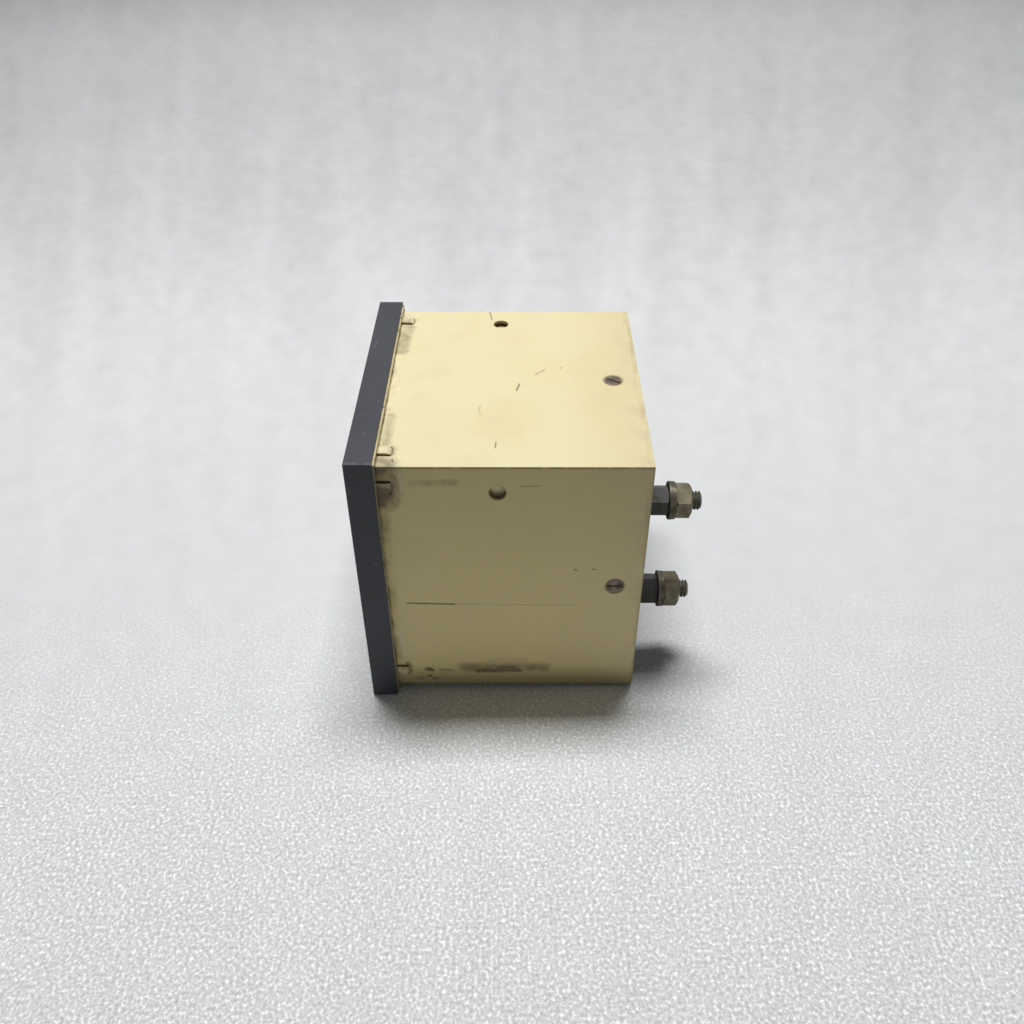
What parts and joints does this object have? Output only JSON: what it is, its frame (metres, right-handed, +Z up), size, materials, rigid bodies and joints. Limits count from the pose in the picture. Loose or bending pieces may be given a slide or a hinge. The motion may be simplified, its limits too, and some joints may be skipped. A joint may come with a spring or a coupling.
{
  "type": "analog panel meter",
  "caption": "Square analog panel meter with a dark moulded bezel, cream steel case, quadrant dial and pointer, and threaded rear terminals.",
  "frame": {"origin": "on the meter's axis, in the plane where the mounting ring seats on the panel", "axes": "-Y is the way the dial faces, +Y points to the rear terminals, +Z is up, +X is to the right seen from the front"},
  "size_m": [0.096, 0.1048, 0.096],
  "materials": {
    "bezel_plastic": "satin moulded plastic, edges rubbed pale",
    "window_glass": "clear, flat",
    "gasket_rubber": "matt black",
    "case_steel": "cream yellow finish on sheet steel, scratched and grimy",
    "ring_steel": "yellow passivated sheet steel, dulled",
    "frame_plastic": "matt black moulded plastic",
    "dial_paint": "matt white enamel on aluminium",
    "dial_ink": "matt black print",
    "screw_steel": "nickel plated steel",
    "dark_screw_steel": "darkened, tarnished steel",
    "chassis_steel": "yellow passivated sheet steel",
    "brass": "turned and stamped brass",
    "bobbin_plastic": "pale moulded plastic",
    "copper_wire": "enamelled copper wire",
    "copper_bar": "bare copper strip",
    "soft_iron": "annealed soft iron",
    "chamber_plastic": "dark grey moulded plastic",
    "spindle_steel": "polished steel",
    "pointer_aluminium": "thin aluminium, black lacquer",
    "vane_aluminium": "thin bare aluminium",
    "spring_bronze": "phosphor bronze strip",
    "base_plastic": "black moulded insulating plastic",
    "stud_steel": "oxidised plated steel thread",
    "post_plastic": "black hexagonal insulating post",
    "washer_steel": "oxidised plated steel",
    "nut_brass": "tarnished olive brown plated brass"
  },
  "bodies": {
    "housing": {"bezel": "bezel_plastic", "window": "window_glass", "window_gasket": "gasket_rubber", "mounting_ring": "ring_steel", "case": "case_steel", "dial_frame": "frame_plastic", "dial": "dial_paint", "scale_print": "dial_ink", "dial_screws": "screw_steel", "stop_pins": "screw_steel", "chassis": "chassis_steel", "chassis_screws": "screw_steel", "movement_plate": "brass", "coil_bobbin": "bobbin_plastic", "coil_winding": "copper_wire", "fixed_iron": "soft_iron", "damping_chamber": "chamber_plastic", "chamber_cover": "brass", "movement_screws": "screw_steel", "bridge_pillars": "brass", "front_bridge": "brass", "bridge_screws": "screw_steel", "front_jewel_screw": "brass", "rear_jewel_screw": "brass", "rear_base": "base_plastic", "side_screws": "dark_screw_steel", "upper_busbar": "copper_bar", "lower_busbar": "copper_bar", "terminal_studs": "stud_steel", "terminal_posts": "post_plastic", "flat_washers": "washer_steel", "spring_washers": "washer_steel", "terminal_nuts": "nut_brass"},
    "pointer_system": {"spindle": "spindle_steel", "pointer": "pointer_aluminium", "balance_weights": "brass", "hairspring": "spring_bronze", "moving_iron": "soft_iron", "damping_vane": "vane_aluminium"},
    "zero_lever": {"zero_lever": "brass"},
    "zero_adjuster": {"zero_adjuster": "frame_plastic"}
  },
  "joints": [
    {"name": "pointer_swing", "type": "hinge", "parent": "housing", "child": "pointer_system", "pos_m": [0.028, 0, -0.028], "axis": [0, 1, 0], "range_deg": [-2, 92], "stiffness_Nm_per_rad": 0.00004},
    {"name": "zero_adjuster_turn", "type": "hinge", "parent": "housing", "child": "zero_adjuster", "pos_m": [0.028, 0, -0.0375], "axis": [0, 1, 0], "range_deg": [-30, 30]},
    {"name": "zero_lever_swing", "type": "hinge", "parent": "housing", "child": "zero_lever", "pos_m": [0.028, 0, -0.028], "axis": [0, 1, 0], "range_deg": [-4.5, 4.5]}
  ],
  "couplings": [
    {"joint": "zero_lever_swing", "follows": "zero_adjuster_turn", "ratio": -0.1446}
  ]
}
